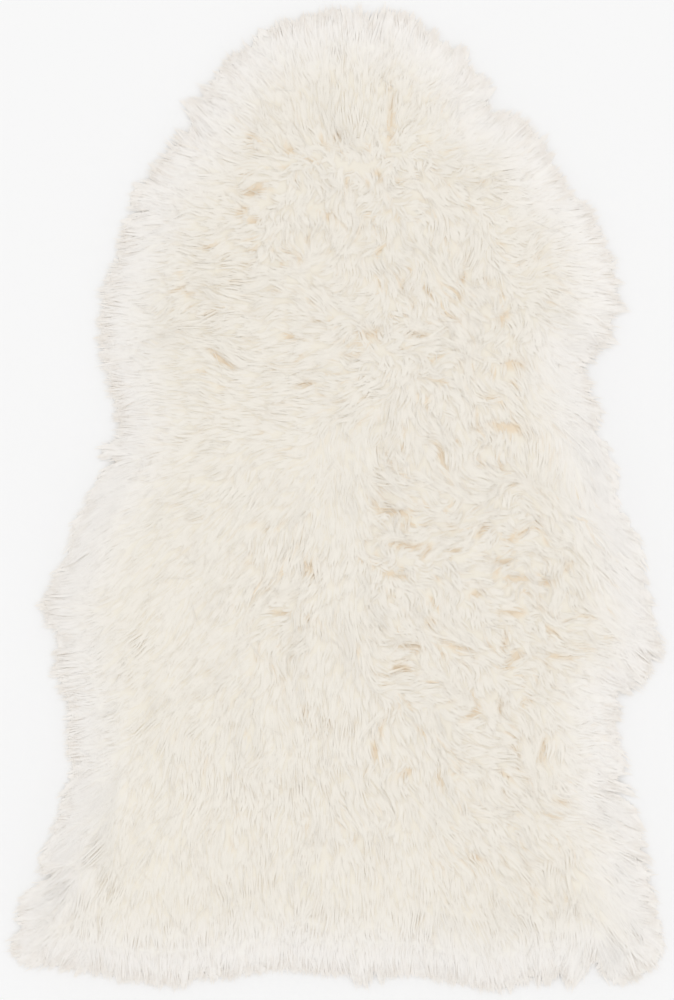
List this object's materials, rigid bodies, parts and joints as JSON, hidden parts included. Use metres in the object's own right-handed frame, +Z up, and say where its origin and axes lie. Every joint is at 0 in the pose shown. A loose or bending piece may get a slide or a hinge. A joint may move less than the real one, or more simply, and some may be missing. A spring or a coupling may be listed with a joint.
{
  "type": "sheepskin rug",
  "caption": "Sheepskin rug: one whole pelt with a rounded neck, a narrow waist and broad haunches, lying flat with its long ivory wool up.",
  "frame": {"origin": "on the floor under the middle of the pelt's bounding box", "axes": "+Y runs along the pelt from the tail to the neck, +X to its right seen from above, +Z up out of the floor"},
  "size_m": [0.6038, 0.8969, 0.0496],
  "materials": {
    "wool": "matte",
    "hide": "matte"
  },
  "bodies": {
    "root": {"sheepskin": "wool"}
  },
  "joints": []
}
